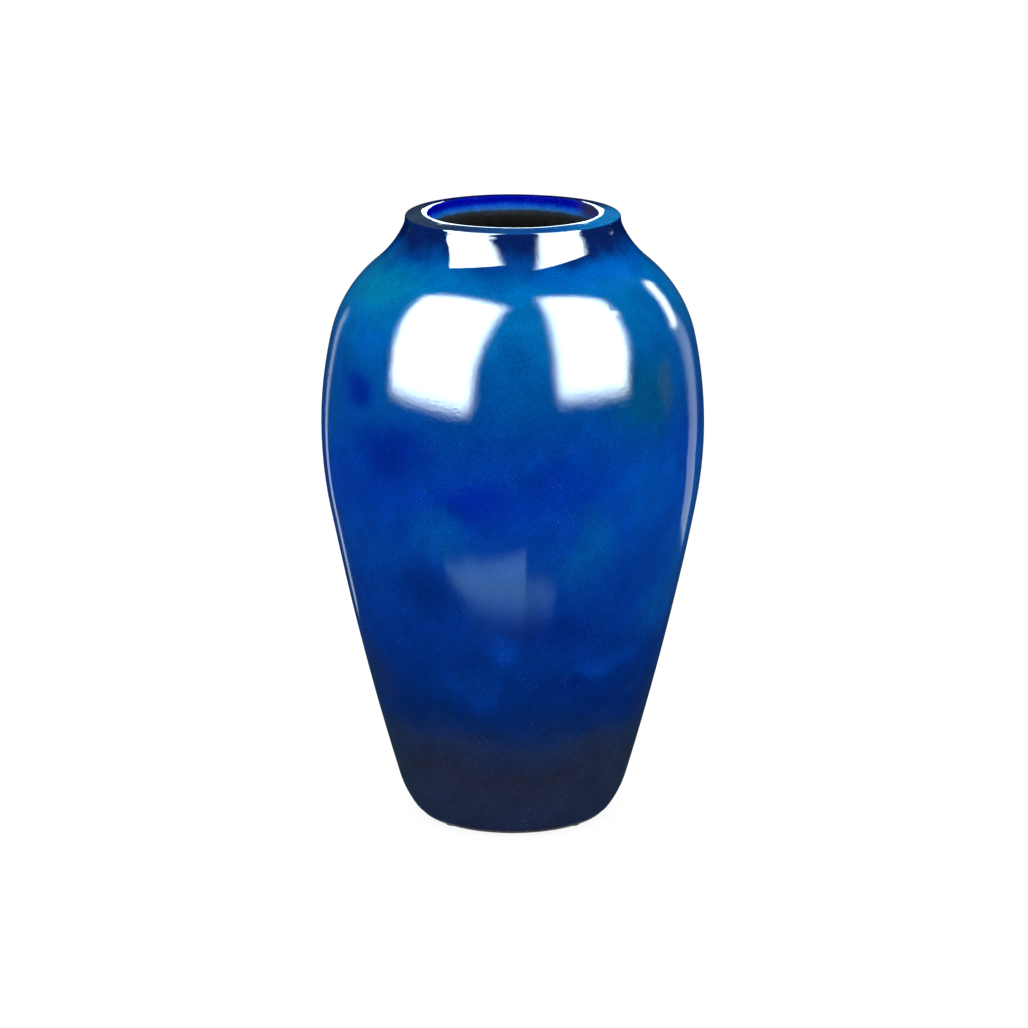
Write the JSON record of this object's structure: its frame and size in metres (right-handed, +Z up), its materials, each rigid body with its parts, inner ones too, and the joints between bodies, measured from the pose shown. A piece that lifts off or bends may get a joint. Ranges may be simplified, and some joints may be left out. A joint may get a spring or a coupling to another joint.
{
  "type": "vase",
  "caption": "Glazed ovoid vase with a short wide neck and a bevelled funnel mouth; holds flowers or branches, or stands empty as decoration.",
  "frame": {"origin": "on the vase's axis, at the level it stands on (underside of the felt pads)", "axes": "+Z up along the axis of revolution, out of the mouth; +X and +Y horizontal, each midway between two felt pads"},
  "size_m": [0.2478, 0.2478, 0.4],
  "materials": {
    "stoneware": "matte, fine grog",
    "blue_glaze": "glossy, mottled",
    "foot_glaze": "satin gloss",
    "liner_glaze": "glossy, dark",
    "felt": "fuzzy felt",
    "adhesive": "translucent film"
  },
  "bodies": {
    "root": {"stoneware_body": "stoneware", "blue_glaze": "blue_glaze", "foot_glaze": "foot_glaze", "liner_glaze": "liner_glaze", "felt_pads": "felt", "pad_adhesive": "adhesive"}
  },
  "joints": []
}
